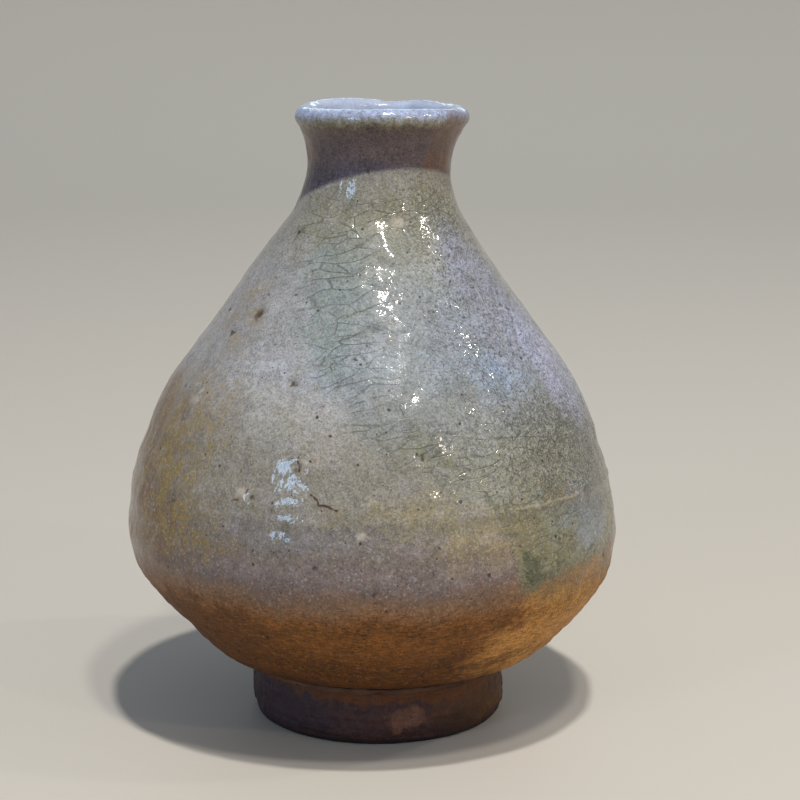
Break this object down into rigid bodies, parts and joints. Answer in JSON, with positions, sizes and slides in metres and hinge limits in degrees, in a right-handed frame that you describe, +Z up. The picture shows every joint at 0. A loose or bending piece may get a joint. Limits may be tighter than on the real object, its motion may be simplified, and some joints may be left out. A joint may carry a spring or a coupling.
{
  "type": "sake bottle",
  "caption": "Squat pear-shaped stoneware sake bottle with a narrow flared neck, rolled lip, turned foot ring and a glassy ash run down one side.",
  "frame": {"origin": "middle of the bounding box in plan, on the surface the foot ring stands on", "axes": "+Z up the bottle's axis to the mouth; -Y faces the viewer; the glassy ash run is towards +X and -Y"},
  "size_m": [0.0976, 0.0976, 0.122],
  "materials": {
    "clay": "matt fired stoneware",
    "foot": "matt, smoke-darkened",
    "slip": "matt",
    "glaze": "semi-gloss speckled ash glaze",
    "liner": "gloss",
    "ash": "glassy, crackled"
  },
  "bodies": {
    "root": {"foot_ring": "foot", "foot_joint_slip": "slip", "lower_bowl": "clay", "belly_joint_slip": "slip", "shoulder_and_neck": "clay", "outer_glaze": "glaze", "inner_glaze": "liner", "ash_run": "ash"}
  },
  "joints": []
}
